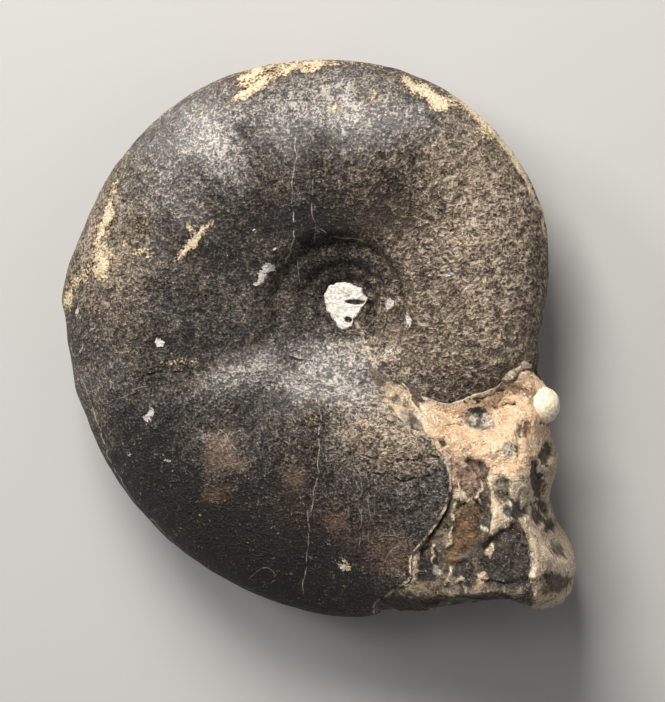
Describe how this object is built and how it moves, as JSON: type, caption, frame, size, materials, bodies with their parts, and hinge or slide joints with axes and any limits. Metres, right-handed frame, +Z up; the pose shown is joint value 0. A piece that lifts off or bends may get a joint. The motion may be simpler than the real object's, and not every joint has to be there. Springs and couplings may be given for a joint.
{
  "type": "fossil ammonite",
  "caption": "loose fossil ammonite, a smooth, tightly coiled shell turned to dark stone, with a stepped navel and a broken end filled with pale sediment, lying on its flank",
  "frame": {"origin": "centre of the bounding box, on the surface that the fossil lies on", "axes": "+Z up, square to the flank that shows; +Y from the lowest to the highest point of the coil as it is shown; +X towards the broken end"},
  "size_m": [0.0854, 0.0902, 0.0297],
  "materials": {
    "fossil_shell": "charcoal to brown-black fossil shell, low sheen, fine pale mineral speckle, tan and cream sediment on the rim and in the broken end"
  },
  "bodies": {
    "root": {"ammonite": "fossil_shell"}
  },
  "joints": []
}
